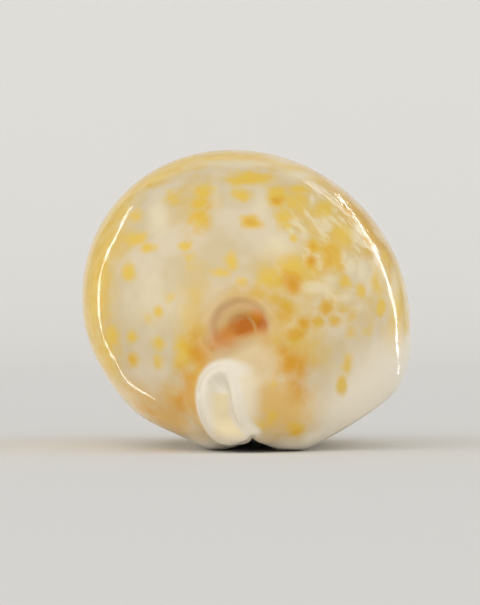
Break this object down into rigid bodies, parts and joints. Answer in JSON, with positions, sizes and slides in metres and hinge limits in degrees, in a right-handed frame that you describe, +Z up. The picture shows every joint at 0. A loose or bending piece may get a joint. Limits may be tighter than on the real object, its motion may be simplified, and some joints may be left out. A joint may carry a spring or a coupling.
{
  "type": "cowrie shell",
  "caption": "Humped, glossy sea-snail shell with a flat base, a long toothed slit and a rolled canal at each end.",
  "frame": {"origin": "centre of the bounding box at its bottom, where the base's two lips rest", "axes": "+Z up through the humped back, +Y along the slit towards the front end, +X towards the outer lip"},
  "size_m": [0.05, 0.073, 0.0452],
  "materials": {
    "shell": "polished porcelain gloss, cream with yellow and orange blotches, white base and canal rims"
  },
  "bodies": {
    "root": {"shell": "shell"}
  },
  "joints": []
}
